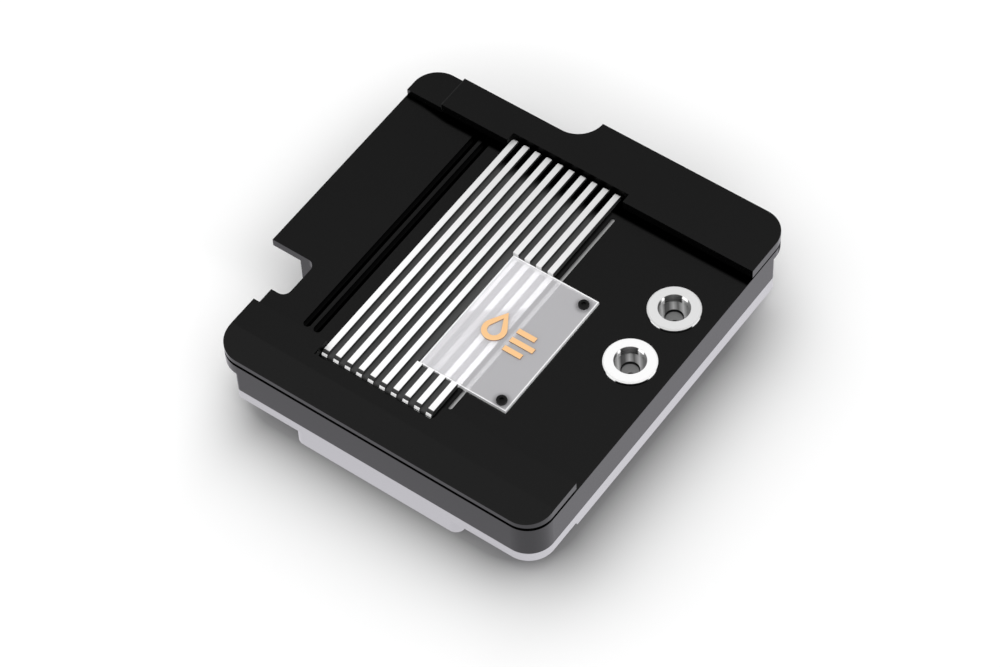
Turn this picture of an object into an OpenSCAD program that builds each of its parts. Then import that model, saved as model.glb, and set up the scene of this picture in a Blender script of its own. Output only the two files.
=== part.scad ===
// Water-cooling monoblock for a computer motherboard: one liquid-cooled block that covers the processor and
// the voltage regulators. X runs along the front edge, Y runs to the back, Z is up, away from the motherboard.
// The block stands on its contact pads at Z = 0, and the pads' outline is centred below the middle of the plan.

/* [Body] */
// Width over the left wing
overall_w = 169; // [150:1:190]
// Depth from the front edge to the back edge
overall_d = 176.6; // [165:0.2:190]
// Height of the body between the cold plate and its own top face
body_h = 15.8; // [14.5:0.1:20]
// Thickness of the front part's flange
flange_t = 5; // [4:0.1:6]
// Thickness of the wing and of the flange behind the notch
wing_t = 3.7; // [3:0.1:4]
// How far the wing stands out past the front part of the left side
wing_w = 14.7; // [8:0.1:20]
// How far the body below the flange is set back from the front part of the left side
left_inset = 10; // [6:0.1:12]
// How far the body below the wing is set back from the wing's left edge
wing_inset = 13.7; // [9:0.1:16]
// How far the body below the flange is set back from the back edge
back_inset = 11.5; // [8:0.1:12]
// Depth of the step in the back edge
back_step = 12; // [6:0.1:14]
// Distance of the back step from the right side
back_step_x = 91.2; // [85:0.1:95]
// Radius of the outer corners
corner_r = 11.5; // [6:0.1:12]
// Radius of the small corners of the part below the flange
block_r = 2; // [1:0.1:4]

/* [Cable notch] */
// Width of the notch in the left side
notch_w = 19.8; // [12:0.1:24]
// Distance of the notch from the front edge
notch_y = 37.6; // [30:0.1:45]
// How deep the notch goes past the front part of the left side
notch_depth = 7; // [4:0.1:8]
// Radius of the inner corners of the notch
notch_r = 3.6; // [2:0.1:5]

/* [Cold plate] */
// Thickness of the cold plate's flange
plate_t = 4.9; // [4:0.1:6]
// Height of the contact pads below the flange
pad_h = 7.8; // [6:0.1:10]
// Width of the front contact pad
front_pad_w = 79.6; // [60:0.1:90]
// Distance of the front contact pad from the right side
front_pad_x = 36.9; // [30:0.1:45]
// Depth of the front contact pad
front_pad_d = 16; // [12:0.5:20]
// Radius of the contact pads' corners
pad_r = 4; // [2:0.1:6]
// Width of the side contact pad
side_pad_w = 15; // [12:0.5:18]
// Length of the side contact pad
side_pad_d = 60; // [40:1:64]
// Side length of the chipset contact pad
chip_pad_w = 32; // [24:1:33]
// Distance of the chipset contact pad from the right side
chip_pad_x = 30.5; // [22:0.5:34]
// Distance of the chipset contact pad from the back edge
chip_pad_y = 15.3; // [14:0.1:17]
// Side length of the processor contact pad
cpu_pad_w = 42; // [36:1:50]
// How far the processor pad stays above the other pads
cpu_pad_up = 4.6; // [3:0.1:5]
// Height of the raised strip below the right side of the flange
rail_h = 2; // [1:0.1:3]
// Width of that strip
rail_w = 14; // [8:0.5:18]

/* [Cooling chamber] */
// Side length of the fin field
fin_field_w = 34; // [28:1:40]
// Spacing of the cooling fins
fin_pitch = 1.7; // [1.5:0.1:2.5]
// Thickness of a cooling fin
fin_t = 0.8; // [0.5:0.1:1.2]
// Height of the cooling fins
fin_h = 3; // [2:0.1:4]
// Thickness of the jet plate
jet_plate_t = 1; // [0.8:0.1:1.5]
// Width of the slot in the jet plate
jet_slot_w = 2.4; // [1.5:0.1:4]
// Distance between the fin field and the chamber's side wall
chamber_margin = 5; // [3:0.1:8]
// Height of the chamber above the jet plate
chamber_roof = 3; // [2:0.1:4]
// Width of the seal's groove
seal_groove_w = 2.4; // [1.8:0.1:3]
// Depth of the seal's groove
seal_groove_d = 1.8; // [1.4:0.1:2.2]
// Width of the coolant channels
channel_w = 8; // [6:0.1:10]

/* [Covers] */
// Depth of the front cover
front_cover_d = 27.1; // [22:0.1:32]
// Shadow gap below the front cover
front_gap = 1.8; // [1:0.1:2.4]
// Thickness of the front cover at its back edge
front_cover_t = 3.7; // [3:0.1:5]
// Thickness of the front cover at its front edge
front_edge_t = 2.2; // [1.5:0.1:2.6]
// Depth of the sloping front part of the front cover
front_slope_d = 13; // [8:0.5:18]
// Depth of the rear cover at the right side
rear_cover_d = 28.5; // [22:0.1:32]
// Distance of the rear cover's left end from the left side
rear_cover_x = 17.3; // [12:0.1:22]
// Shadow gap below the rear cover
rear_gap = 1.1; // [0.4:0.1:1.4]
// Thickness of the rear cover
rear_cover_t = 4.2; // [3:0.1:5]
// Thickness of the small corner cover
corner_cover_t = 3.1; // [2:0.1:4]
// How far the lands below the covers are set back from the covers' edges
land_inset = 4; // [3:0.1:5]
// Clearance between two covers that meet end to end
cover_clear = 0.15; // [0.1:0.05:0.3]

/* [Ribs] */
// Width of a rib
rib_w = 2.6; // [2:0.1:3.2]
// Spacing of the ribs
rib_pitch = 5.58; // [4.8:0.01:5.8]
// Distance of the first rib from the right side
rib_x = 118.2; // [112:0.1:124]
// Height of the ribs above the body's top face
rib_top = 2.6; // [2:0.1:3]
// Height of the carrier's strips between the ribs above the body's top face
carrier_top = 1.2; // [0.6:0.1:1.6]
// Radius of the ribs' rounded ends
rib_nose_r = 2.4; // [1.5:0.1:2.6]
// How far the ribs' front ends reach into the front cover's cut-out
rib_front = 4; // [3:0.1:5]
// How far the ribs' back ends reach into the rear cover's cut-out
rib_back = 3.9; // [3:0.1:5]
// Radius of the ribs' back ends
rib_back_r = 1; // [0.5:0.1:1.5]
// Distance between the ribs' front ends and the front cover's cut-out
cutout_front_gap = 3.8; // [2:0.1:5]
// Distance between the ribs' back ends and the rear cover's cut-out
cutout_back_gap = 0.4; // [0.3:0.1:1.5]
// Distance between the last rib and the cut-outs' right side
cutout_side_gap = 3.4; // [1:0.1:4]
// Radius of the cut-outs' corners
cutout_r = 3; // [1:0.1:4]
// Depth of the carrier's slots below the body's top face
slot_depth = 1.4; // [1:0.1:2]
// Thickness of the carrier below its slots
carrier_base_t = 2; // [1.5:0.1:3]
// Clearance between a rib and its slot, and round the pieces that sit in pockets
fit_clear = 0.1; // [0.05:0.05:0.2]

/* [Window plate] */
// Width of the clear plate
window_w = 41.1; // [36:0.1:44]
// Depth of the clear plate
window_d = 63.1; // [54:0.1:70]
// Thickness of the clear plate
window_t = 2; // [1.5:0.1:2.5]
// How deep the plate is let into the body's top face
window_sink = 0.6; // [0.3:0.1:1]
// Distance of the clear plate from the right side
window_x = 43.05; // [40:0.05:46]
// Distance of the clear plate from the front edge
window_y = 41.1; // [36:0.1:46]
// Gap between the cut ribs and the plate
window_gap = 0.4; // [0.2:0.1:1]
// Number of ribs that run below the plate
window_ribs = 4; // [2:1:4]
// Diameter of the window screws' heads
window_screw_d = 4.4; // [3.5:0.1:5]
// Diameter of the window screws' shanks
window_shank_d = 2.4; // [2:0.1:3]
// Distance of the window screws from the plate's right edge
window_screw_x = 4; // [3.5:0.1:6]
// Distance of the front window screw from the plate's front edge
window_screw_y = 3.2; // [3:0.1:6]
// Distance of the rear window screw from the plate's back edge
window_screw_back = 4.7; // [3:0.1:6]
// Height of the window screws' heads
window_head_h = 1.1; // [0.8:0.1:1.6]
// Width across the flats of the window screws' sockets
window_socket_w = 2; // [1.5:0.1:2.5]
// Depth of the window screws' holes in the body
window_hole_depth = 3; // [2:0.1:4]
// Height of the emblem's drop
emblem_l = 15; // [13:0.5:18]
// Radius of the drop's round end
emblem_r = 5.2; // [4:0.1:6]
// Width of the emblem's band and bars
emblem_band = 2.4; // [1.8:0.1:2.6]
// Length of the emblem's bars
emblem_bar_l = 11; // [6:0.5:14]
// Thickness of the emblem
emblem_t = 0.5; // [0.3:0.1:1]

/* [Light bar] */
// Width of the light bar
bar_w = 1.7; // [1.2:0.1:2.5]
// Distance between the last rib and the light bar
bar_gap = 2.2; // [1.6:0.1:4]
// Height of the light bar
bar_h = 3; // [2:0.1:4]
// Depth of the bar's top below the clear plate
bar_sink = 0.1; // [0.1:0.1:0.5]
// Distance of the bar's and the grooves' front ends from the front cover
bar_end_gap = 3.6; // [2:0.1:6]
// Distance of the bar's back end from the rear cover
bar_back_gap = 5.6; // [2:0.1:9]
// Thickness of the light strip's circuit board
led_board_t = 0.8; // [0.6:0.1:1.2]

/* [Grooves] */
// Width of the two decorative grooves
groove_w = 3.4; // [2:0.1:4]
// Depth of the grooves
groove_depth = 2.3; // [1:0.1:3]
// Distance from the first rib to the middle of the first groove
groove_x = 9.05; // [7:0.1:11]
// Spacing of the grooves
groove_pitch = 5; // [4.4:0.1:7]
// Distance of the grooves' back ends from the rear cover
groove_back_gap = 1.2; // [0.6:0.1:4]

/* [Ports] */
// Distance of the ports from the right side
port_x = 17.2; // [15:0.1:20]
// Spacing of the two ports
port_pitch = 30.5; // [26:0.1:34]
// Distance of the rear port from the rear cover
port_y = 29.5; // [24:0.1:34]
// Diameter of the ports' rings
ring_d = 21.8; // [20.6:0.1:23]
// Height of the rings above the body's top face
ring_h = 1.3; // [0.8:0.1:2]
// Major diameter of the G 1/4 port thread
thread_d = 13.2; // [13:0.05:13.4]
// Depth of the port thread below the ring's top
thread_depth = 4.6; // [4:0.1:5.4]
// Diameter of the well below the thread
well_d = 7.8; // [6.5:0.1:9]
// Depth of the well's floor below the ring's top
well_depth = 7.5; // [7.1:0.1:8.2]
// Outer diameter of the port sleeves in the body
sleeve_d = 16.4; // [15.5:0.1:17]
// Length of the port sleeves below the body's top face
sleeve_h = 7.5; // [6.9:0.1:9]
// Diameter of the passage in the well's floor
passage_d = 3.2; // [2.5:0.1:3.4]
// Thickness of the port seals
port_seal_t = 1.4; // [1:0.1:1.6]

/* [Fasteners] */
// Spacing of the mounting holes for the motherboard
mount_pitch = 75; // [70:1:80]
// Diameter of the mounting holes
mount_hole_d = 3.3; // [2.5:0.1:4]
// Depth of the mounting holes
mount_hole_depth = 4; // [3:0.1:4.5]
// Diameter of the body screws' shanks
screw_d = 3; // [2.5:0.1:3.5]
// Diameter of the body screws' heads
screw_head_d = 5.5; // [4.5:0.1:6]
// Height of the body screws' heads
screw_head_h = 2; // [1.5:0.1:2.5]
// How far the body screws reach into the body
screw_grip = 6; // [4:0.5:8]
// Diameter of the cover screws' shanks
cover_screw_d = 2.5; // [2:0.1:3]
// Diameter of the cover screws' heads
cover_head_d = 4.5; // [3.5:0.1:5]
// Height of the cover screws' heads
cover_head_h = 1.6; // [1:0.1:2]
// How far the cover screws reach into the covers
cover_grip = 1.4; // [1:0.1:1.6]
// Length of the cover screws below the front and rear covers
cover_shank = 9; // [7:0.5:11]
// Distance of the outer screws from the sides
screw_edge = 7; // [6:0.5:9]

/* [Hidden] */
$fn = 96;

// Overlap that keeps cuts and joined solids clean
eps = 0.01;

// Levels
plate_z = pad_h;
body_z = plate_z + plate_t;
top_z = body_z + body_h;

// Plan edges
left_x = -overall_w / 2;
right_x = overall_w / 2;
front_y = -overall_d / 2;
back_y = overall_d / 2;
step_left_x = left_x + wing_w;
wing_back_y = back_y - back_step;
step_x = right_x - back_step_x;
block_left_x = step_left_x + left_inset;
block_back_y = back_y - back_inset;
notch_front_y = front_y + notch_y;
notch_back_y = notch_front_y + notch_w;
notch_in_x = step_left_x + notch_depth;

// Covers
front_cover_y = front_y + front_cover_d;
rear_cover_y = back_y - rear_cover_d;
rear_cover_left = left_x + rear_cover_x;
front_cover_z = top_z + front_gap;
rear_cover_z = top_z + rear_gap;

// Ribs
rib_n = 10;
rib_left = right_x - rib_x;
rib_right = rib_left + (rib_n - 1) * rib_pitch + rib_w;
rib_y0 = front_cover_y - rib_front;
rib_y1 = rear_cover_y + rib_back;
rib_z = top_z + rib_top;
slot_z = top_z - slot_depth;
carrier_z = slot_z - carrier_base_t;
cutout_x0 = rib_left - 2 * fit_clear;
cutout_x1 = rib_right + cutout_side_gap;
cutout_y0 = rib_y0 - cutout_front_gap;
cutout_y1 = rib_y1 + cutout_back_gap;

// Window plate
window_x1 = right_x - window_x;
window_x0 = window_x1 - window_w;
window_y0 = front_y + window_y;
window_y1 = window_y0 + window_d;
window_z = top_z - window_sink;
window_top = window_z + window_t;
first_cut_rib = rib_n - window_ribs + 1;
window_cut_x = rib_left + (first_cut_rib - 1) * rib_pitch - fit_clear;
window_screws_x = window_x1 - window_screw_x;
window_screw_ys = [window_y0 + window_screw_y, window_y1 - window_screw_back];
emblem_x = window_x0 + window_w / 2;
emblem_y = window_y0 + window_d / 2;

// Light bar and grooves
bar_x = rib_right + bar_gap;
bar_z = window_z - bar_sink - bar_h;
bar_y0 = front_cover_y + bar_end_gap;
bar_y1 = rear_cover_y - bar_back_gap;
groove_y0 = front_cover_y + bar_end_gap;
groove_y1 = rear_cover_y - groove_back_gap;

// Ports
port_px = right_x - port_x;
port_ys = [rear_cover_y - port_y - port_pitch, rear_cover_y - port_y];
seal_r = (sleeve_d + ring_d) / 4;
cone_h = (thread_d - well_d) / 2 * tan(31);
passage_off = (well_d - passage_d) / 2 - 0.2;
passage_turn = -52;

// Chamber: the wet zone is what the chamber seal encloses
cpu_x = (rib_left + rib_right) / 2;
cpu_y = port_ys[0];
fin_half = fin_field_w / 2;
fin_n = floor((fin_field_w + fin_pitch - fin_t) / fin_pitch);
fin_z = body_z - fin_h;
plenum_z = body_z + jet_plate_t;
chamber_half = fin_half + chamber_margin;
channel_half = channel_w / 2;
wet_x0 = cpu_x - chamber_half - channel_w - chamber_margin;
wet_x1 = port_px + channel_half + chamber_margin;
wet_y0 = cpu_y - chamber_half - chamber_margin;
wet_y1 = port_ys[1] + channel_half + chamber_margin;
wet_r = 6;

// Screws
screw_x0 = block_left_x + screw_edge;
screw_x1 = right_x - rail_w - screw_edge / 2;
screw_y0 = front_y + screw_edge;
screw_y1 = block_back_y - screw_edge;
screw_row_y = front_y + front_pad_d + screw_edge;
body_screw_points = concat(
    [for (x = [screw_x0, screw_x1], y = [screw_y0, (screw_y0 + cpu_y) / 2, wet_y1 + screw_edge, screw_y1]) [x, y]],
    [[cpu_x, screw_row_y], [port_px - ring_d, screw_row_y], [cpu_x + 2 * screw_edge, screw_y1]]);
cover_screw_xs = [block_left_x + 2 * screw_edge, cpu_x, port_px - ring_d * 1.5, right_x - screw_edge - corner_r / 2];
front_screw_y = (front_y + cutout_y0) / 2;
rear_screw_y = (cutout_y1 + wing_back_y) / 2;
corner_screw = [(left_x + rear_cover_left) / 2, (rear_cover_y + wing_back_y) / 2];
corner_seat_z = top_z - wing_t + cover_head_h;

// Plan shapes

// What the sharp corner at x, y loses when it is rounded; sx and sy are the signs of the way out of the corner
module corner_waste(x, y, sx, sy, r) {
    translate([x, y]) difference() {
        translate([sx > 0 ? -r : -eps, sy > 0 ? -r : -eps]) square(r + eps);
        translate([-sx * r, -sy * r]) circle(r);
    }
}

module box2(x0, y0, x1, y1) {
    translate([x0, y0]) square([x1 - x0, y1 - y0]);
}

module round_box(x0, y0, x1, y1, r) {
    difference() {
        box2(x0, y0, x1, y1);
        corner_waste(x0, y0, -1, -1, r);
        corner_waste(x1, y0, 1, -1, r);
        corner_waste(x0, y1, -1, 1, r);
        corner_waste(x1, y1, 1, 1, r);
    }
}

// Slot with round ends along Y
module slot2(x, y0, y1, w) {
    box2(x - w / 2, y0 + w / 2, x + w / 2, y1 - w / 2);
    translate([x, y0 + w / 2]) circle(d = w);
    translate([x, y1 - w / 2]) circle(d = w);
}

// Full outline of the flange: front part, wing, back step and cable notch
module flange_outline() {
    difference() {
        union() {
            box2(left_x, notch_front_y + eps, right_x, wing_back_y);
            box2(step_left_x, front_y, right_x, wing_back_y);
            box2(step_x - back_step, wing_back_y - eps, right_x, back_y);
        }
        translate([step_x - back_step, back_y]) circle(back_step);
        corner_waste(left_x, wing_back_y, -1, 1, corner_r);
        corner_waste(right_x, back_y, 1, 1, corner_r);
        corner_waste(right_x, front_y, 1, -1, corner_r);
        corner_waste(step_left_x, front_y, -1, -1, corner_r);
        difference() {
            box2(left_x - 1, notch_front_y, notch_in_x, notch_back_y);
            corner_waste(notch_in_x, notch_front_y, 1, -1, notch_r);
            corner_waste(notch_in_x, notch_back_y, 1, 1, notch_r);
        }
    }
}

// Outline of the body below the flange, and of the cold plate
module block_outline() {
    difference() {
        union() {
            box2(block_left_x, front_y, right_x, block_back_y);
            box2(left_x + wing_inset, notch_back_y, right_x, block_back_y);
        }
        corner_waste(right_x, front_y, 1, -1, corner_r);
        corner_waste(block_left_x, front_y, -1, -1, block_r);
        corner_waste(left_x + wing_inset, block_back_y, -1, 1, block_r);
        corner_waste(right_x, block_back_y, 1, 1, block_r);
    }
}

// Opening in both covers that leaves the ribs free
module rib_cutout() {
    round_box(cutout_x0, cutout_y0, cutout_x1, cutout_y1, cutout_r);
}

// The part of the flange outline between two X and from one Y to the other, without the rib cut-out
module cover_outline(x0, y0, x1, y1) {
    difference() {
        intersection() {
            flange_outline();
            box2(x0, y0, x1, y1);
        }
        rib_cutout();
    }
}

// Solids from plan shapes

module slab(z, h) {
    translate([0, 0, z]) linear_extrude(h) children();
}

module box3(x0, y0, z0, x1, y1, z1) {
    translate([x0, y0, z0]) cube([x1 - x0, y1 - y0, z1 - z0]);
}

module rod(x, y, z0, z1, d) {
    translate([x, y, z0]) cylinder(h = z1 - z0, d = d);
}

// A side view, drawn with Y to the right and Z up, pulled along X
module pull_x(x, w) {
    translate([x, 0, 0]) rotate([90, 0, 90]) linear_extrude(w) children();
}

// Screw that points up: the head hangs below seat_z, the shank ends at tip_z; grow widens it for its hole
module screw(x, y, seat_z, tip_z, shank_d, head_d, head_h, grow = 0) {
    rod(x, y, seat_z - head_h, seat_z, head_d + grow);
    rod(x, y, seat_z - eps, tip_z, shank_d);
}

// Cold plate

module front_pad_outline() {
    x1 = right_x - front_pad_x;
    round_box(x1 - front_pad_w, front_y, x1, front_y + front_pad_d, pad_r);
}

module side_pad_outline() {
    x0 = block_left_x + block_r;
    round_box(x0, cpu_y - side_pad_d / 2, x0 + side_pad_w, cpu_y + side_pad_d / 2, pad_r);
}

module chip_pad_outline() {
    x1 = right_x - chip_pad_x;
    y1 = back_y - chip_pad_y;
    round_box(x1 - chip_pad_w, y1 - chip_pad_w, x1, y1, pad_r);
}

module cpu_pad_outline() {
    half = cpu_pad_w / 2;
    round_box(cpu_x - half, cpu_y - half, cpu_x + half, cpu_y + half, pad_r);
}

// Strip below the right side, from behind the front cover to the back of the block
module rail_outline() {
    intersection() {
        block_outline();
        box2(right_x - rail_w, front_cover_y, right_x, block_back_y);
    }
}

module fin_slots() {
    fin_x0 = cpu_x - (fin_n - 1) * fin_pitch / 2;
    for (i = [0 : fin_n - 2])
        box3(fin_x0 + i * fin_pitch + fin_t / 2, cpu_y - fin_half, fin_z,
            fin_x0 + (i + 1) * fin_pitch - fin_t / 2, cpu_y + fin_half, body_z + 1);
}

module mount_holes() {
    half = mount_pitch / 2;
    for (sx = [-1, 1], sy = [-1, 1])
        rod(cpu_x + sx * half, cpu_y + sy * half, plate_z - 1, plate_z + mount_hole_depth, mount_hole_d);
}

module cold_plate() {
    color("#c8c8cd") difference() {
        union() {
            slab(plate_z, plate_t) block_outline();
            slab(0, pad_h + eps) front_pad_outline();
            slab(0, pad_h + eps) side_pad_outline();
            slab(0, pad_h + eps) chip_pad_outline();
            slab(cpu_pad_up, pad_h - cpu_pad_up + eps) cpu_pad_outline();
            slab(plate_z - rail_h, rail_h + eps) rail_outline();
        }
        fin_slots();
        mount_holes();
        for (p = body_screw_points) {
            rod(p.x, p.y, plate_z - 1, plate_z + screw_head_h + fit_clear, screw_head_d + 2 * fit_clear);
            rod(p.x, p.y, plate_z, body_z + 1, screw_d + 2 * fit_clear);
        }
    }
}

// Jet plate: lies on the fins and lets the coolant in through one slot across them
module jet_plate() {
    half = fin_half + chamber_margin / 2;
    color("#b4b4b8") difference() {
        box3(cpu_x - half, cpu_y - fin_half + chamber_margin, body_z, cpu_x + half,
            cpu_y + fin_half - chamber_margin, body_z + jet_plate_t);
        box3(cpu_x - fin_half + fin_t, cpu_y - jet_slot_w / 2, body_z - 1, cpu_x + fin_half - fin_t,
            cpu_y + jet_slot_w / 2, body_z + jet_plate_t + 1);
    }
}

// Chamber seal: a cord in a groove round the wet zone
module seal_loop(w) {
    difference() {
        round_box(wet_x0 - w / 2, wet_y0 - w / 2, wet_x1 + w / 2, wet_y1 + w / 2, wet_r + w / 2);
        round_box(wet_x0 + w / 2, wet_y0 + w / 2, wet_x1 - w / 2, wet_y1 - w / 2, wet_r - w / 2);
    }
}

module chamber_seal() {
    color("#202020") slab(body_z, seal_groove_d) seal_loop(seal_groove_w - 2 * fit_clear);
}

// Body

// Rod that cuts a port's passage, which lies off the port's middle
module passage(y, z0, z1) {
    rod(port_px + passage_off * cos(passage_turn), y + passage_off * sin(passage_turn), z0, z1, passage_d);
}

// Chamber and channels in the underside: in at the front port, through the jet plate, out at the rear port
module wet_cuts() {
    jet_x = fin_half + chamber_margin / 2 + fit_clear;
    jet_y = fin_half - chamber_margin + fit_clear;
    roof = plenum_z + chamber_roof;
    floor_z = body_z - 1;
    box3(cpu_x - jet_x, cpu_y - jet_y, floor_z, cpu_x + jet_x, cpu_y + jet_y, plenum_z);
    box3(cpu_x - fin_half, cpu_y - channel_half, plenum_z - eps, port_px, cpu_y + channel_half, roof);
    for (s = [-1, 1])
        box3(cpu_x - chamber_half - channel_w, cpu_y + (s > 0 ? jet_y + fit_clear * 2 : -chamber_half), floor_z,
            cpu_x + fin_half, cpu_y + (s > 0 ? chamber_half : -jet_y - fit_clear * 2), roof);
    box3(cpu_x - chamber_half - channel_w, cpu_y - chamber_half, floor_z,
        cpu_x - chamber_half, port_ys[1] + channel_half, roof);
    box3(cpu_x - chamber_half - channel_w, port_ys[1] - channel_half, floor_z,
        port_px, port_ys[1] + channel_half, roof);
    for (y = port_ys) {
        rod(port_px, y, y == port_ys[0] ? plenum_z - eps : floor_z, roof, channel_w);
        passage(y, roof - 1, top_z - sleeve_h + 1);
    }
}

module body() {
    color("#1c1c1e") difference() {
        union() {
            slab(top_z - wing_t, wing_t) flange_outline();
            slab(top_z - flange_t, flange_t) intersection() {
                flange_outline();
                box2(left_x, front_y, right_x, notch_front_y);
            }
            slab(body_z, body_h - wing_t + eps) block_outline();
            slab(top_z - eps, front_gap + eps) round_box(step_left_x + land_inset, front_y + land_inset,
                right_x - land_inset, cutout_y0 - land_inset / 2, land_inset);
            slab(top_z - eps, rear_gap + eps) round_box(rear_cover_left + land_inset, cutout_y1 + land_inset / 2,
                right_x - land_inset, wing_back_y - land_inset / 2, land_inset / 2);
        }
        box3(rib_left - fit_clear, rib_y0 - 2 * fit_clear, carrier_z, rib_right + fit_clear,
            rib_y1 + 2 * fit_clear, top_z + 1);
        box3(rib_left, window_y0 - fit_clear, window_z, window_x1 + fit_clear, window_y1 + fit_clear, top_z + 1);
        slab(bar_z - led_board_t, bar_h + 4) slot2(bar_x + bar_w / 2, bar_y0 - fit_clear, bar_y1 + fit_clear,
            bar_w + 2 * fit_clear);
        for (i = [0, 1])
            slab(top_z - groove_depth, groove_depth + 1)
                slot2(rib_left - groove_x - i * groove_pitch, groove_y0, groove_y1, groove_w);
        for (y = window_screw_ys)
            rod(window_screws_x, y, window_z - window_hole_depth, top_z, window_shank_d);
        for (y = port_ys) {
            rod(port_px, y, top_z - sleeve_h, top_z + 1, sleeve_d);
            slab(top_z - port_seal_t, port_seal_t + 1) translate([port_px, y]) difference() {
                circle(seal_r + port_seal_t / 2 + fit_clear);
                circle(seal_r - port_seal_t / 2 - fit_clear);
            }
        }
        wet_cuts();
        slab(body_z - 1, seal_groove_d + 1) seal_loop(seal_groove_w);
        for (p = body_screw_points)
            rod(p.x, p.y, body_z - 1, body_z + screw_grip, screw_d);
        for (x = cover_screw_xs) {
            cover_screw_hole(x, front_screw_y, front_cover_z);
            cover_screw_hole(x, rear_screw_y, rear_cover_z);
        }
        screw(corner_screw.x, corner_screw.y, corner_seat_z, top_z + 1, cover_screw_d,
            cover_head_d, 2 * cover_head_h, 2 * fit_clear);
    }
}

// Stepped hole in the body for a screw that holds a cover from below
module cover_screw_hole(x, y, cover_z) {
    rod(x, y, body_z - 1, cover_z - cover_shank, cover_head_d + 2 * fit_clear);
    rod(x, y, body_z, cover_z + 1, cover_screw_d);
}

// Covers

// The front cover is level at the back and slopes down to a thinner front edge
module front_cover() {
    back_z = front_cover_z + front_cover_t;
    color("#1e1e20") difference() {
        slab(front_cover_z, front_cover_t) cover_outline(step_left_x, front_y, right_x, front_cover_y);
        pull_x(left_x, overall_w) polygon([
            [front_y - 1, front_cover_z + front_edge_t - (front_cover_t - front_edge_t) / front_slope_d],
            [front_y + front_slope_d, back_z], [front_y + front_slope_d, back_z + 1], [front_y - 1, back_z + 1]]);
        for (x = cover_screw_xs)
            rod(x, front_screw_y, front_cover_z - 1, front_cover_z + cover_grip, cover_screw_d);
    }
}

module rear_cover() {
    color("#1e1e20") difference() {
        slab(rear_cover_z, rear_cover_t) cover_outline(rear_cover_left, rear_cover_y, right_x, back_y);
        for (x = cover_screw_xs)
            rod(x, rear_screw_y, rear_cover_z - 1, rear_cover_z + cover_grip, cover_screw_d);
    }
}

module corner_cover() {
    color("#1e1e20") difference() {
        slab(top_z, corner_cover_t)
            cover_outline(left_x, rear_cover_y, rear_cover_left - cover_clear, wing_back_y);
        rod(corner_screw.x, corner_screw.y, top_z - 1, top_z + cover_grip, cover_screw_d);
    }
}

// Ribs and their carrier

// Side view of a long bar with a round front nose and a smaller round back end
module nosed_profile(y0, z0, y1, z1, front_r, back_r) {
    difference() {
        box2(y0, z0, y1, z1);
        corner_waste(y0, z1, -1, 1, front_r);
        corner_waste(y1, z1, 1, 1, back_r);
    }
}

// Side view of what is taken away where the clear plate lies over the ribs
module window_relief() {
    box2(window_y0 - window_gap, window_z - fit_clear, window_y1 + window_gap, rib_z + 1);
}

module rib(i) {
    color("#e6e6e8") pull_x(rib_left + (i - 1) * rib_pitch, rib_w) difference() {
        nosed_profile(rib_y0, slot_z, rib_y1, rib_z, rib_nose_r, rib_back_r);
        if (i >= first_cut_rib) window_relief();
    }
}

module rib_carrier() {
    color("#55555a") difference() {
        pull_x(rib_left, rib_right - rib_left)
            nosed_profile(rib_y0 - fit_clear, carrier_z, rib_y1 + fit_clear, top_z + carrier_top,
                carrier_top, rib_back_r);
        for (i = [0 : rib_n - 1])
            box3(rib_left + i * rib_pitch - fit_clear, rib_y0 - 1, slot_z,
                rib_left + i * rib_pitch + rib_w + fit_clear, rib_y1 + 1, rib_z);
        pull_x(window_cut_x, rib_right - window_cut_x + 1) window_relief();
    }
}

// Window plate

module window_plate() {
    color([0.85, 0.87, 0.9, 0.5]) difference() {
        box3(window_x0, window_y0, window_z, window_x1, window_y1, window_top);
        for (y = window_screw_ys)
            rod(window_screws_x, y, window_z - 1, window_top + 1, window_shank_d + 2 * fit_clear);
    }
}

module window_screws() {
    head_z = window_top + window_head_h;
    color("#151515") for (y = window_screw_ys) difference() {
        union() {
            rod(window_screws_x, y, window_top, head_z, window_screw_d);
            rod(window_screws_x, y, window_z - window_hole_depth, window_top + eps, window_shank_d);
        }
        translate([window_screws_x, y, head_z - 0.7])
            cylinder(h = 1, d = window_socket_w / cos(30), $fn = 6);
    }
}

// Drop with its round end at the origin and its tip towards Y; l is its whole height
module drop(r, l) {
    tip = l - r;
    a = asin(r / tip);
    circle(r);
    polygon([[-r * cos(a), r * sin(a)], [r * cos(a), r * sin(a)], [0, tip]]);
}

// A drop's outline beside three bars like cooling fins
module emblem() {
    bar_step = 2 * emblem_band;
    color("#d99a5b") slab(window_top, emblem_t) translate([emblem_x, emblem_y - emblem_r / 2]) {
        translate([-emblem_bar_l / 2, 0]) difference() {
            drop(emblem_r, emblem_l);
            drop(emblem_r - emblem_band, emblem_l - 2.4 * emblem_band);
        }
        for (i = [-1 : 1])
            translate([emblem_band, i * bar_step - emblem_band / 2])
                square([emblem_bar_l - abs(i) * emblem_band, emblem_band]);
    }
}

// Light

module light_bar() {
    color([0.9, 0.92, 0.95, 0.6]) slab(bar_z, bar_h) slot2(bar_x + bar_w / 2, bar_y0, bar_y1, bar_w);
}

module led_board() {
    color("#1d3a2a") slab(bar_z - led_board_t, led_board_t) slot2(bar_x + bar_w / 2, bar_y0, bar_y1, bar_w);
}

// Ports

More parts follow.
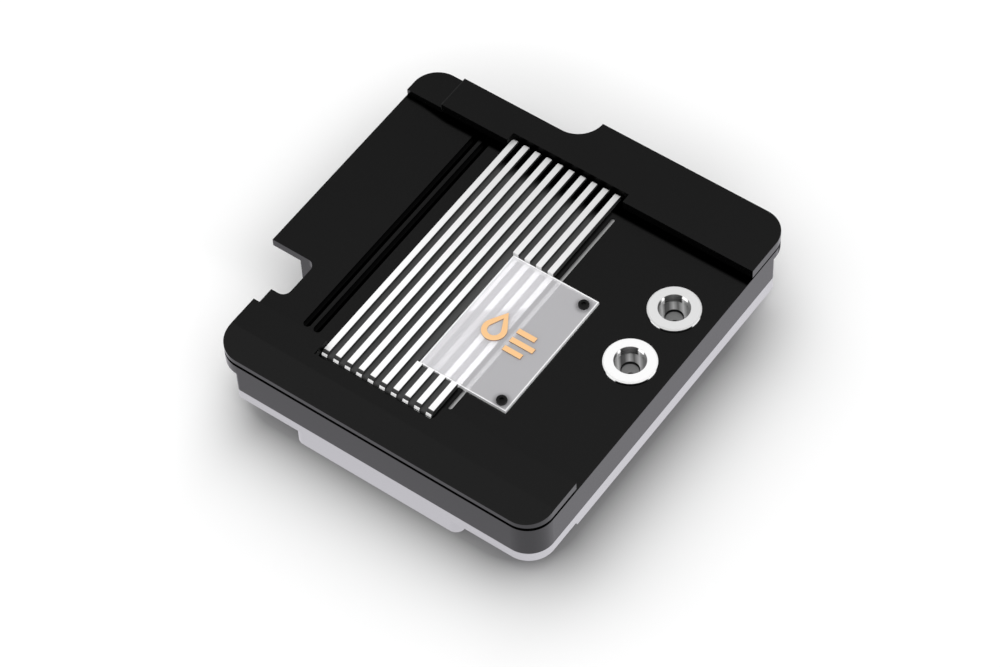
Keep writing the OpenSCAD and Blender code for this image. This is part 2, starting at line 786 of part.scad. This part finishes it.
// Threaded cup with a ring on top: the thread runs out in a drilled cone above a well with a small passage
module port(y) {
    ring_z = top_z + ring_h;
    color("#d6d6d8") difference() {
        translate([port_px, y, 0]) rotate_extrude() polygon([
            [0, top_z - sleeve_h], [sleeve_d / 2 - fit_clear, top_z - sleeve_h],
            [sleeve_d / 2 - fit_clear, top_z], [ring_d / 2, top_z],
            [ring_d / 2, top_z + ring_h / 2], [ring_d / 2 - ring_h / 2, ring_z],
            [thread_d / 2, ring_z], [thread_d / 2, ring_z - thread_depth],
            [well_d / 2, ring_z - thread_depth - cone_h], [well_d / 2, ring_z - well_depth],
            [0, ring_z - well_depth]]);
        passage(y, top_z - sleeve_h - 1, ring_z - well_depth + 1);
    }
}

module front_port() {
    port(port_ys[0]);
}

module rear_port() {
    port(port_ys[1]);
}

module port_seals() {
    color("#202020") for (y = port_ys)
        translate([port_px, y, top_z - port_seal_t / 2]) rotate_extrude()
            translate([seal_r, 0]) circle(d = port_seal_t, $fn = 32);
}

// Fasteners

module body_screws() {
    color("#3a3a3c") for (p = body_screw_points)
        screw(p.x, p.y, plate_z + screw_head_h, body_z + screw_grip, screw_d, screw_head_d, screw_head_h);
}

module cover_screws() {
    color("#3a3a3c") {
        for (x = cover_screw_xs) {
            screw(x, front_screw_y, front_cover_z - cover_shank, front_cover_z + cover_grip,
                cover_screw_d, cover_head_d, cover_head_h);
            screw(x, rear_screw_y, rear_cover_z - cover_shank, rear_cover_z + cover_grip,
                cover_screw_d, cover_head_d, cover_head_h);
        }
        screw(corner_screw.x, corner_screw.y, corner_seat_z, top_z + cover_grip,
            cover_screw_d, cover_head_d, cover_head_h);
    }
}

cold_plate();
jet_plate();
chamber_seal();
body();
front_cover();
rear_cover();
corner_cover();
rib_carrier();
rib(1);  // rib_1
rib(2);  // rib_2
rib(3);  // rib_3
rib(4);  // rib_4
rib(5);  // rib_5
rib(6);  // rib_6
rib(7);  // rib_7
rib(8);  // rib_8
rib(9);  // rib_9
rib(10);  // rib_10
window_plate();
window_screws();
emblem();
light_bar();
led_board();
front_port();
rear_port();
port_seals();
body_screws();
cover_screws();
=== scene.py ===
# %% [markdown]
# # A motherboard monoblock in Blender
# The object is a flat water block for a computer. A nickel plated cold plate carries a black body, two black
# covers lie over its ends, ten pale ribs run across it, and a frosted plate lies over the ribs on the right.
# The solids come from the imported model, so this file adds what a solid can't say: finish, light and fine detail.

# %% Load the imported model
import math

import bpy
import numpy as np
from mathutils import Matrix


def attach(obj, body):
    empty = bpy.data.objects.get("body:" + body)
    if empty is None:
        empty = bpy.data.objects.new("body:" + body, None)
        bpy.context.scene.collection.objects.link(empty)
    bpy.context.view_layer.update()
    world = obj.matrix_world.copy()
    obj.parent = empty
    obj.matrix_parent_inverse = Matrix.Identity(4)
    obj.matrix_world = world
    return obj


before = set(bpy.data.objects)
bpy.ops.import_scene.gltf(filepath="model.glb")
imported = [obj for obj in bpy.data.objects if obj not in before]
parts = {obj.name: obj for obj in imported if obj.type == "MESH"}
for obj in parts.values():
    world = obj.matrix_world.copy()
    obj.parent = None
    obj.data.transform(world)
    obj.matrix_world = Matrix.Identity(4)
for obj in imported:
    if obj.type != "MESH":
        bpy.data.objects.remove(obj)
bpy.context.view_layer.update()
MM = 0.001

# %% [markdown]
# ## The camera
# The photograph was taken from far away with a long lens, from the right, looking down steeply. A camera is easy
# to reason about as a spot in space and three turns: which way it faces round the object, how far it looks down,
# and how much it leans about its own line of sight. The three turns give the three columns of its matrix.

# %% Camera
camera_spot = (533.5 * MM, -672.9 * MM, 1174.9 * MM)
facing, looking_down, lean = (math.radians(a) for a in (38.21, 53.96, -3.20))
forward = np.array([-math.sin(facing) * math.cos(looking_down), math.cos(facing) * math.cos(looking_down),
                    -math.sin(looking_down)])
level_right = np.array([math.cos(facing), math.sin(facing), 0.0])
level_up = np.cross(level_right, forward)
right = math.cos(lean) * level_right + math.sin(lean) * level_up
up = np.cross(right, forward)

camera_data = bpy.data.cameras.new("camera")
camera_data.sensor_width = 36.0
camera_data.lens = 130.76
camera = bpy.data.objects.new("camera", camera_data)
camera.matrix_world = Matrix([[*pair, spot] for pair, spot in
                              zip(np.stack([right, up, -forward], axis=1).tolist(), camera_spot)] + [[0, 0, 0, 1]])
bpy.context.scene.collection.objects.link(camera)
bpy.context.scene.camera = camera
bpy.context.scene.view_settings.view_transform = "Standard"

# %% [markdown]
# ## A short way to write shader maths
# A material is a web of nodes, and most of its nodes only add or multiply. Two small classes keep that readable:
# a Flow is the output of a node, and arithmetic on it adds the Math nodes; a Finish is a material with one
# method that adds any other node.

# %% Flow and Finish
class Flow:
    """The output of a node. Arithmetic between flows and plain numbers adds Math nodes to the same material."""

    def __init__(self, finish, socket):
        self.finish, self.socket = finish, socket

    def math(self, operation, *values):
        return self.finish.node("ShaderNodeMath", {"operation": operation}, list(values))

    def __add__(self, other):
        return self.math("ADD", self, other)

    def __sub__(self, other):
        return self.math("SUBTRACT", self, other)

    def __rsub__(self, other):
        return self.math("SUBTRACT", other, self)

    def __mul__(self, other):
        return self.math("MULTIPLY", self, other)

    __radd__, __rmul__ = __add__, __mul__

    def size(self):
        return self.math("ABSOLUTE", self)

    def root(self):
        return self.math("SQRT", self)

    def at_least(self, other):
        return self.math("MAXIMUM", self, other)

    def at_most(self, other):
        return self.math("MINIMUM", self, other)

    def ramp(self, low, high):
        """0 below low, 1 above high and a smooth S between them."""
        return self.finish.node("ShaderNodeMapRange", {"interpolation_type": "SMOOTHSTEP"},
                                {"Value": self, "From Min": low, "From Max": high})


class Finish:
    """A material, with one method for any node and a few for what nearly every finish needs."""

    def __init__(self, name):
        self.material = bpy.data.materials.new(name)
        self.material.use_nodes = True
        self.tree = self.material.node_tree
        self.tree.nodes.clear()
        self.output = self.tree.nodes.new("ShaderNodeOutputMaterial")

    def node(self, kind, settings=None, values=None, output=0):
        """Adds a node: first its settings, then the values or links of its sockets, by name or by number."""
        made = self.tree.nodes.new(kind)
        for name, value in (settings or {}).items():
            setattr(made, name, value)
        pairs = enumerate(values) if isinstance(values, list) else (values or {}).items()
        for key, value in pairs:
            if isinstance(value, Flow):
                self.tree.links.new(value.socket, made.inputs[key])
            else:
                made.inputs[key].default_value = value
        return Flow(self, made.outputs[output])

    def place(self):
        """Object coordinates, in metres in the frame of the part."""
        return self.node("ShaderNodeTexCoord", output="Object")

    def axes(self):
        """The x, y and z of the object coordinates, as three flows."""
        made = self.node("ShaderNodeSeparateXYZ", values=[self.place()])
        return [Flow(self, socket) for socket in made.socket.node.outputs]

    def grain(self, size, detail=2.0):
        """Noise from 0 to 1 with lumps of about size metres."""
        return self.node("ShaderNodeTexNoise", values={"Vector": self.place(), "Scale": 1.0 / size, "Detail": detail})

    def tint(self, amount, low, high):
        """The colour low where amount is 0 and high where it is 1. Either may be a flow."""
        ends = [end if isinstance(end, Flow) else (*end, 1.0) for end in (low, high)]
        return self.node("ShaderNodeMix", {"data_type": "RGBA"}, {0: amount, 6: ends[0], 7: ends[1]}, 2)

    def steps(self, amount, stops):
        """A grey that runs through stops, pairs of an amount from 0 to 1 and a level."""
        made = self.node("ShaderNodeValToRGB", values=[amount])
        elements = made.socket.node.color_ramp.elements
        for place, level in stops[1:-1]:
            elements.new(place)
        for element, (place, level) in zip(elements, stops):
            element.position, element.color = place, (level, level, level, 1.0)
        return made

    def relief(self, height, depth):
        """A normal bent by height, a flow from 0 to 1 that stands for depth metres."""
        return self.node("ShaderNodeBump", values={"Height": height, "Distance": depth, "Strength": 1.0})

    def surface(self, **values):
        """Ends the material in a Principled shader; a name such as Base_Color stands for Base Color."""
        shader = self.node("ShaderNodeBsdfPrincipled", values={k.replace("_", " "): v for k, v in values.items()})
        self.tree.links.new(shader.socket, self.output.inputs["Surface"])
        return shader

    def give(self, *names):
        """Puts the material on CAD nodes and returns it."""
        for name in names:
            mesh = parts[name].data
            mesh.materials.clear()
            mesh.materials.append(self.material)
        return self.material


def grey(value):
    return (value, value, value)


# %% [markdown]
# ## Black body and covers
# In the photograph the level faces are nearly black, while the upright faces are a clear grey. Both are one dark,
# smooth finish. A smooth surface mirrors more the flatter it is looked along, so an upright face shows the white
# floor and a level face shows the dim space above. A very dark base with plain gloss therefore gives both greys.
# In the two grooves, in a strip in front of the rear cover and on the walls of the rib cut-out, a mask paints
# shade: the base turns black and the gloss is taken away there. A thin strip along the rear cover's left edge has
# a lighter base, a painted highlight.

# %% Black finishes
TOP, RIB_TOP = 28.5 * MM, 31.1 * MM
REAR_COVER_Y, FRONT_COVER_Y = 59.8 * MM, -61.2 * MM
CUT_X0, CUT_X1, CUT_Y0, CUT_Y1 = -33.9 * MM, 22.52 * MM, -69.0 * MM, 64.1 * MM


def outside_box(x, y, x0, x1, y0, y1):
    """How far a place lies outside a box in plan, negative inside, with square corners."""
    beside = (x - (x0 + x1) / 2).size() - (x1 - x0) / 2
    behind = (y - (y0 + y1) / 2).size() - (y1 - y0) / 2
    return beside.at_least(behind)


def black_finish(name, base, roughness, grain_size, grain_depth, painted_shade=None, pale=None):
    """Dark base with gloss. Where the shade mask is 1 the base turns black and mirrors nothing: painted shade. Where
    pale is 1 the base is a little lighter: a painted highlight.
    """
    finish = Finish(name)
    wander = finish.grain(18 * MM)
    fine = finish.grain(grain_size)
    mask = painted_shade(finish) if painted_shade else 0.0
    colour = finish.tint(pale(finish), grey(base), grey(0.014)) if pale else grey(base)
    finish.surface(Base_Color=finish.tint(mask, colour, grey(0.0)), Metallic=mask, IOR=1.5,
                   Roughness=roughness - 0.02 + wander * 0.04 + mask * 0.4, Normal=finish.relief(fine, grain_depth))
    return finish


def painted_shade_on_body(finish):
    """1 in the two grooves and in the strip in front of the rear cover: painted shade, and in the strip also a
    painted reflection of the cover's black edge.
    """
    x, y, z = finish.axes()
    below = 1.0 - z.ramp(TOP - 0.4 * MM, TOP - 0.1 * MM)
    from_middle = ((x + 45.25 * MM).size() - 2.5 * MM).size()
    in_grooves = (1.0 - from_middle.ramp(0.6 * MM, 1.5 * MM)) * below * (1.0 - y.size().ramp(60 * MM, 61 * MM))
    reach = 1.5 * MM + x.ramp(-80 * MM, -60 * MM) * (1.8 * MM)
    strip = (1.0 - (REAR_COVER_Y - y - reach).ramp(-0.6 * MM, 1.2 * MM)) * z.ramp(TOP - 5.2 * MM, TOP - 5.0 * MM)
    inside = 1.0 - outside_box(x, y, -84.0 * MM, 84.2 * MM, -88.0 * MM, 87.9 * MM).ramp(0.0, 0.2 * MM)
    return (in_grooves + strip * inside).at_most(1.0)


def painted_shade_on_cover(finish):
    """1 on the upright walls of the rib cut-out, apart from its front end: painted shade there."""
    x, y, z = finish.axes()
    walls = 1.0 - outside_box(x, y, CUT_X0, CUT_X1, CUT_Y0, CUT_Y1).ramp(0.02 * MM, 0.10 * MM)
    return walls * y.ramp(-66.0 * MM, -65.0 * MM).at_least(1.0 - x.ramp(-33.6 * MM, -33.2 * MM))


def painted_edge_highlight(finish):
    """1 along the rear cover's left edge, where the lower corner cover begins: a painted highlight that lightens the
    base.
    """
    x, y, z = finish.axes()
    return 1.0 - x.ramp(-66.95 * MM, -66.75 * MM)


# The body and the rear and front covers take painted shade from these masks; the rear cover also a painted highlight.
black_finish("moulded_black", 0.0012, 0.18, 0.35 * MM, 0.0004 * MM, painted_shade_on_body).give("body")
black_finish("anodised_black", 0.0012, 0.17, 0.2 * MM, 0.0003 * MM, painted_shade_on_cover, painted_edge_highlight).give("rear_cover")
black_finish("front_black", 0.0012, 0.17, 0.2 * MM, 0.0003 * MM, painted_shade_on_cover).give("front_cover")
black_finish("corner_black", 0.0012, 0.17, 0.2 * MM, 0.0003 * MM).give("corner_cover")
black_finish("black_oxide", 0.0010, 0.35, 0.3 * MM, 0.0010 * MM).give("window_screws", "body_screws", "cover_screws")
black_finish("rubber", 0.008, 0.6, 0.5 * MM, 0.004 * MM).give("chamber_seal", "port_seals")

# %% [markdown]
# ## Nickel and steel
# The cold plate is copper under satin nickel. It is milled, so its roughness runs in fine lines along its length.
# Stretching a noise along one axis gives such lines: the noise sees a place that is squeezed in that direction.

# %% Metal finishes
def metal_finish(name, colour, roughness, streak, stretch=(1.0, 40.0, 40.0), depth=0.0005 * MM, metallic=1.0):
    """Metal whose roughness and normal follow a noise of size streak, stretched along X."""
    finish = Finish(name)
    squeezed = finish.node("ShaderNodeMapping", {"vector_type": "POINT"},
                           {"Vector": finish.place(), "Scale": stretch})
    lines = finish.node("ShaderNodeTexNoise", values={"Vector": squeezed, "Scale": 1.0 / streak, "Detail": 3.0})
    finish.surface(Base_Color=finish.tint(lines, tuple(c * 0.97 for c in colour), colour), Metallic=metallic,
                   Roughness=roughness - 0.03 + lines * 0.06, Normal=finish.relief(lines, depth))
    return finish


metal_finish("satin_nickel", (0.64, 0.64, 0.642), 0.20, 40 * MM).give("cold_plate")
metal_finish("steel_sheet", (0.45, 0.45, 0.46), 0.3, 40 * MM).give("jet_plate")

emblem_finish = Finish("emblem_copper")
emblem_x, emblem_y, emblem_z = emblem_finish.axes()
foil = emblem_finish.grain(0.6 * MM)
# The emblem's sides, below z 30.30 mm, are painted dark brown: painted shade under the foil's edge.
emblem_finish.surface(Base_Color=emblem_finish.tint(emblem_z.ramp(30.30 * MM, 30.38 * MM), (0.30, 0.16, 0.12),
                                                    (0.95, 0.58, 0.275)), Metallic=0.1, Roughness=0.38 + foil * 0.04,
                      Normal=emblem_finish.relief(foil, 0.0005 * MM))
emblem_finish.give("emblem")

# %% [markdown]
# ## Port finish
# The rings are bead blasted and pale on top. The bore inside them is turned and polished, and its reflections
# are painted on as upright bright and dark bands, laid as a function of place: by the angle round the axis in the
# thread, and by the distance to the side of the axis on the cone below it. Painted glints glow just below the ring
# on both sides. The ring's outer edge is painted black, a painted reflection, apart from two stretches painted
# white that glow as painted highlights. A painted shade darkens the edge of the well, and the rear ring's top is
# darker than the front ring's: painted shade.

# %% Port finish
PORT_X, PORT_YS = 67.3 * MM, (-0.2 * MM, 30.3 * MM)


def port_finish(name, port_y, ring_base):
    """Pale ring whose edge is painted black apart from two painted highlights; below it painted reflection bands,
    darker in the thread than on the cone and the well's floor, painted glints under the ring and a painted shade at
    the well's edge.
    """
    finish = Finish(name)
    x, y, z = finish.axes()
    across, along = x - PORT_X, y - port_y
    beside = across * 0.788 + along * 0.616
    behind = along * 0.788 - across * 0.616
    away = (across * across + along * along).root()
    depth = (TOP + 1.3 * MM) - z
    turn = beside.math("ARCTAN2", beside, behind) * (1.0 / math.tau) + 0.5
    # The thread and cone colours are painted reflections: bright and dark bands by place.
    thread = finish.steps(turn, [(0.0, 0.10), (0.35, 0.12), (0.37, 0.80), (0.405, 0.80), (0.415, 0.03), (0.5, 0.14),
                                 (0.585, 0.03), (0.597, 0.85), (0.655, 0.85), (0.67, 0.30), (1.0, 0.10)])
    cone = finish.steps(beside * (1.0 / (13.2 * MM)) + 0.5, [
        (0.0, 0.05), (0.15, 0.80), (0.25, 0.11), (0.36, 0.15), (0.5, 0.65), (0.64, 0.18), (0.79, 0.75), (0.9, 0.28),
        (1.0, 0.30)])
    below_thread = depth.ramp(4.45 * MM, 4.75 * MM).at_least(
        beside.size().ramp(3.9 * MM, 4.2 * MM) * depth.ramp(2.0 * MM, 2.4 * MM))
    wall = finish.tint(below_thread, thread, cone)
    floor_tone = finish.tint(depth.ramp(7.2 * MM, 7.4 * MM), wall, grey(0.36))
    # A painted shade darkens the well's wall next to its floor.
    well_edge_shade = away.ramp(3.3 * MM, 3.85 * MM) * depth.ramp(6.2 * MM, 6.5 * MM)
    inner = finish.tint(well_edge_shade, floor_tone, grey(0.01))
    # The ring's edge is painted black, a painted reflection, and white with a glow on two stretches: painted
    # highlights.
    edge_highlights = finish.steps(turn, [(0.0, 0.0), (0.095, 0.0), (0.105, 1.0), (0.165, 1.0), (0.18, 0.0), (0.82, 0.0),
                                (0.835, 1.0), (0.895, 1.0), (0.905, 0.0), (1.0, 0.0)])
    edge = away.ramp(10.80 * MM, 10.87 * MM)
    ring = finish.tint(edge, grey(ring_base), finish.tint(edge_highlights, grey(0.012), grey(0.95)))
    # Painted glints glow in the bore just below the ring.
    painted_glints = finish.steps(turn, [(0.0, 0.0), (0.37, 0.0), (0.38, 1.0), (0.402, 1.0), (0.41, 0.0), (0.585, 0.0),
                                 (0.597, 1.0), (0.655, 1.0), (0.67, 0.0), (1.0, 0.0)])
    in_bore = 1.0 - away.ramp(6.56 * MM, 6.62 * MM)
    painted_glow = painted_glints * (1.0 - depth.ramp(1.8 * MM, 2.2 * MM)) * in_bore * 0.6 + edge_highlights * edge * 0.35
    grain = finish.grain(0.3 * MM)
    finish.surface(Base_Color=finish.tint(in_bore, ring, inner), Metallic=0.12 + in_bore * 0.15, IOR=1.5,
                   Roughness=0.42 + grain * 0.08, Emission_Color=painted_glow, Emission_Strength=1.0,
                   Normal=finish.relief(grain, 0.0006 * MM))
    return finish


# The rear ring's top is darker than the front ring's: painted shade.
front_chrome = port_finish("port_chrome_front", PORT_YS[0], 0.95)
rear_chrome = port_finish("port_chrome_rear", PORT_YS[1], 0.73)
front_chrome.give("front_port")
rear_chrome.give("rear_port")

# %% [markdown]
# ## Port threads
# A G 1/4 port has a thread with a pitch of 1.337 mm. The solid keeps a plain bore, so the ridge is laid inside it
# here: a ring whose inner radius goes up and down along the axis while the wave climbs by one pitch a turn.

# %% Port threads
def thread_ring(name, port_y, finish):
    """A closed sleeve. Its outer wall is the bore. Its inner radius is the crest radius plus the ridge depth times a
    wave of height and angle: half a wave per flank, shifted by the angle so that it climbs one pitch a turn. The
    wave fades to nothing at both ends, where the sleeve is as thin as paper."""
    turns, levels, pitch, depth, wall = 144, 64, 1.337 * MM, 0.34 * MM, 6.59 * MM
    top, low = TOP + 1.1 * MM, TOP + 1.3 * MM - 4.55 * MM
    angle = np.linspace(0.0, math.tau, turns, endpoint=False)
    height = np.linspace(low, top, levels)
    a, h = np.meshgrid(angle, height)
    wave = 0.5 + 0.5 * np.cos((h / pitch - a / math.tau) * math.tau)
    fade = np.clip(np.minimum(h - low, top - h) / (0.6 * MM), 0.0, 1.0)
    inner = wall - 0.01 * MM - depth * wave * fade
    ring_in = np.stack([PORT_X + inner * np.cos(a), port_y + inner * np.sin(a), h], axis=-1).reshape(-1, 3)
    ring_out = np.stack([PORT_X + wall * np.cos(a), port_y + wall * np.sin(a), h], axis=-1).reshape(-1, 3)
    i, j = np.meshgrid(np.arange(turns), np.arange(levels - 1))
    n = (i + 1) % turns
    inner_faces = np.stack([j * turns + i, (j + 1) * turns + i, (j + 1) * turns + n, j * turns + n], axis=-1)
    shift = turns * levels
    outer_faces = np.stack([j * turns + n, (j + 1) * turns + n, (j + 1) * turns + i, j * turns + i], axis=-1) + shift
    k = np.arange(turns)
    m = (k + 1) % turns
    end = (levels - 1) * turns
    bottom = np.stack([k, m, m + shift, k + shift], axis=-1)
    lid = np.stack([end + m, end + k, end + k + shift, end + m + shift], axis=-1)
    faces = np.concatenate([f.reshape(-1, 4) for f in (inner_faces, outer_faces, bottom, lid)])
    mesh = bpy.data.meshes.new(name)
    mesh.from_pydata(np.concatenate([ring_in, ring_out]).tolist(), [], faces.tolist())
    mesh.polygons.foreach_set("use_smooth", [True] * len(mesh.polygons))
    piece = bpy.data.objects.new(name, mesh)
    bpy.context.scene.collection.objects.link(piece)
    mesh.materials.append(finish.material)
    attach(piece, "root")
    print(name, "faces:", len(faces))
    return piece


thread_ring("front_port_thread", PORT_YS[0], front_chrome)
thread_ring("rear_port_thread", PORT_YS[1], rear_chrome)

# %% [markdown]
# ## Ribs and their carrier
# The ribs are pale metal with a soft satin face, bright under the studio light. Their colour is a painted shade
# darker towards the rear and on their flanks, and their round noses carry a painted dark band, a painted
# reflection of the dim front of the studio, over a glowing lower part, a painted highlight. Where they run under
# the frosted plate, glowing patches of painted light lighten them. They lie in a dark grey carrier that shows as
# even grey bands between them, and that sinks into a painted shadow near the rear cover.

# %% Rib finishes
rib_finish = Finish("rib_satin")
rib_x, rib_y, rib_z = rib_finish.axes()
brushed = rib_finish.node("ShaderNodeMapping", {"vector_type": "POINT"},
                          {"Vector": rib_finish.place(), "Scale": (60.0, 1.0, 60.0)})
strokes = rib_finish.node("ShaderNodeTexNoise", values={"Vector": brushed, "Scale": 40.0, "Detail": 3.0})
pitch, first_left, width = 5.58 * MM, -33.7 * MM, 2.6 * MM
along_pitch = (rib_x - first_left) * (1.0 / pitch)
from_middle = (along_pitch.math("FRACT", along_pitch) - width / pitch / 2).size()
# The rib flanks are painted dark: painted shade.
flank = from_middle.ramp((width / 2 - 0.03 * MM) / pitch, (width / 2 - 0.008 * MM) / pitch)
# The nose carries a painted dark reflection band and a glowing lower part, a painted highlight.
nose_top, nose_low = rib_y.ramp(-64.72 * MM, -64.55 * MM), rib_z.ramp(28.75 * MM, 29.05 * MM)
nose_dark_reflection = ((1.0 - rib_y.ramp(-63.35 * MM, -63.15 * MM)) * nose_top).at_least(1.0 - nose_top - nose_low)
nose_tip_highlight = (1.0 - nose_top) * nose_low
# The ribs are painted darker towards the rear: painted shade.
rear_shade = rib_y.ramp(-40 * MM, 60 * MM)
pale = rib_finish.tint(rear_shade, grey(0.97), grey(0.71))
toned = rib_finish.tint(flank, rib_finish.tint(nose_dark_reflection, pale, grey(0.05)), grey(0.05))
# Under the frosted plate, patches of the ribs glow: painted light.
under_plate = rib_x.ramp(-1.0 * MM, -0.6 * MM) * (1.0 - rib_z.ramp(28.2 * MM, 28.4 * MM))
back_patch = (rib_y - rib_x * 0.72).ramp(-16.5 * MM, -14.5 * MM)
front_patch = (1.0 - rib_y.ramp(-23.0 * MM, -20.0 * MM)) * rib_x.ramp(8 * MM, 9 * MM)
painted_glow = ((back_patch + front_patch) * under_plate * 0.5 + nose_tip_highlight * 0.4) * (1.0 - flank)
rib_finish.surface(Base_Color=toned, Metallic=0.06, Roughness=0.36 + strokes * 0.08, Emission_Color=painted_glow,
                   Emission_Strength=1.0, Normal=rib_finish.relief(strokes, 0.0004 * MM))
rib_finish.give(*[name for name in parts if name.startswith("rib_") and name != "rib_carrier"])

carrier_finish = Finish("carrier_grey")
carrier_x, carrier_y, carrier_z = carrier_finish.axes()
speckle = carrier_finish.grain(0.4 * MM)
# Painted shadow: near the rear cover the carrier's base turns black.
shadow = carrier_y.ramp(46 * MM, 54 * MM)
carrier_finish.surface(Base_Color=carrier_finish.tint(shadow, grey(0.062), grey(0.0)), Metallic=shadow,
                       Roughness=0.4 + speckle * 0.1, Normal=carrier_finish.relief(speckle, 0.002 * MM))
carrier_finish.give("rib_carrier")

# %% [markdown]
# ## Clear plate and light bar
# The plate is clear acrylic with a light frost, so it shows both a pale veil and the ribs below. Along its cut
# edges the veil is painted whiter and denser as thin bright lines, a painted highlight for the light that runs
# inside the sheet, and round each screw the veil thins to a darker ring, a painted shade.

# %% Plate and light finishes
plate_finish = Finish("frosted_plate")
plate_x, plate_y, plate_z = plate_finish.axes()
frost = plate_finish.grain(0.25 * MM)
inset = outside_box(plate_x, plate_y, 0.35 * MM, 41.45 * MM, -47.2 * MM, 15.9 * MM)
# A painted highlight: the veil is whiter and denser along the cut edges.
edge = inset.ramp(-0.65 * MM, -0.40 * MM)
# A painted shade: the veil thins round each screw.
screw_y = (plate_y + 16.4 * MM).size() - 27.6 * MM
screw_x = plate_x - 37.45 * MM
screw_shade_ring = 1.0 - (screw_x * screw_x + screw_y * screw_y).root().ramp(2.2 * MM, 4.6 * MM)
veil = plate_finish.tint(edge, (0.90, 0.89, 0.92), (0.97, 0.97, 0.98))
plate_finish.surface(Base_Color=veil, Alpha=0.455 + frost * 0.02 + edge * 0.40 - screw_shade_ring * 0.16, Roughness=0.35,
                     Normal=plate_finish.relief(frost, 0.002 * MM))
plate_finish.give("window_plate")

guide_finish = Finish("light_guide")
guide_x, guide_y, guide_z = guide_finish.axes()
# The light bar's right side is painted pale, a painted highlight, and fades by a quarter towards the rear: painted
# shade.
lit_side = guide_x.ramp(21.2 * MM, 22.9 * MM) * (1.0 - guide_y.ramp(-30 * MM, 50 * MM) * 0.25)
guide_finish.surface(Base_Color=guide_finish.tint(lit_side, grey(0.08), grey(0.55)), Roughness=0.35)
guide_finish.give("light_bar")

board_finish = Finish("solder_mask")
mask_grain = board_finish.grain(0.5 * MM)
board_finish.surface(Base_Color=board_finish.tint(mask_grain, (0.01, 0.05, 0.02), (0.015, 0.07, 0.03)), Roughness=0.3)
board_finish.give("led_board")

# %% [markdown]
# ## Floor and world
# The floor is white paper under an even white sky, which leaves a soft shadow all round the block. On the paper a
# painted shadow darkens it next to the block, most on the right and little on the left and at the back, a broader
# painted shadow lies round the block away from its front and right, and a painted light makes it a little lighter
# off the front left. To a mirror the paper has no shadow, is faintly cool and is brighter towards the right, a
# painted reflection, so the right walls mirror a brighter floor than the front walls. Light Path says which ray asks.

# %% Floor
floor_data = bpy.data.meshes.new("floor")
reach = 3.0
floor_data.from_pydata([(-reach, -reach, 0.0), (reach, -reach, 0.0), (reach, reach, 0.0), (-reach, reach, 0.0)], [],
                       [(0, 1, 2, 3)])
floor = bpy.data.objects.new("floor", floor_data)
bpy.context.scene.collection.objects.link(floor)
floor.location.z = -0.0002
paper = Finish("white_paper")
floor_x, floor_y, floor_z = paper.axes()
corner = 25 * MM
beside = ((floor_x - 8 * MM).size() - (76.5 * MM - corner)).at_least(0.0)
behind = (floor_y.size() - (88.3 * MM - corner)).at_least(0.0)
gap = ((beside * beside + behind * behind).root() - corner).at_least(0.0)
# Painted shadow near the block and a broad painted shadow off its left and rear; painted light off the front left.
right_side, left_side = floor_x.ramp(60 * MM, 100 * MM), 1.0 - floor_x.ramp(-85 * MM, -45 * MM)
rear = floor_y.ramp(40 * MM, 95 * MM)
near_shadow = gap.math("EXPONENT", gap * (right_side * 20.0 - 80.0))
amount = (0.62 + right_side * 0.06) * (1.0 - left_side * 0.9) * (1.0 - rear * 0.85)
shadow_haze = floor_y.ramp(-40 * MM, -20 * MM) * (1.0 - floor_x.ramp(20 * MM, 70 * MM)) * (1.0 - gap.ramp(25 * MM, 60 * MM))
shade = 0.93 + left_side * (1.0 - floor_y.ramp(-50 * MM, -30 * MM)) * 0.05 - near_shadow * amount - shadow_haze * 0.08
tone = paper.tint(shade, grey(0.0), grey(1.0))
lit = paper.node("ShaderNodeBsdfDiffuse", values={"Color": tone})
ray = paper.node("ShaderNodeLightPath").socket.node
mirror_ray = Flow(paper, ray.outputs["Is Glossy Ray"]) + Flow(paper, ray.outputs["Is Transmission Ray"])
# To mirrors the paper is brighter towards the right: a painted reflection.
plain = paper.node("ShaderNodeEmission", values={
    "Color": paper.tint(right_side, (0.81, 0.795, 0.845), (0.925, 0.91, 0.965)), "Strength": 1.0})
paper.tree.links.new(paper.node("ShaderNodeMixShader", values=[mirror_ray, lit, plain]).socket,
                     paper.output.inputs["Surface"])
floor_data.materials.append(paper.material)

# %% World
world = bpy.data.worlds.new("studio")
bpy.context.scene.world = world
world.use_nodes = True
sky = Finish.__new__(Finish)
sky.tree = world.node_tree
sky.tree.nodes.clear()
sky.output = sky.tree.nodes.new("ShaderNodeOutputWorld")
height = Flow(sky, sky.node("ShaderNodeSeparateXYZ", values=[sky.node("ShaderNodeTexCoord", output="Generated")])
              .socket.node.outputs["Z"])
ray = sky.node("ShaderNodeLightPath").socket.node
mirror_ray = Flow(sky, ray.outputs["Is Glossy Ray"])
mirrored = 1.0 - height.ramp(0.15, 0.70) * 0.84 + height.ramp(0.72, 0.88) * 0.205
strength = mirrored * mirror_ray + (1.0 - mirror_ray) * 1.15
background = sky.node("ShaderNodeBackground", values={"Color": (1.0, 1.0, 1.0, 1.0), "Strength": strength})
sky.tree.links.new(background.socket, sky.output.inputs["Surface"])
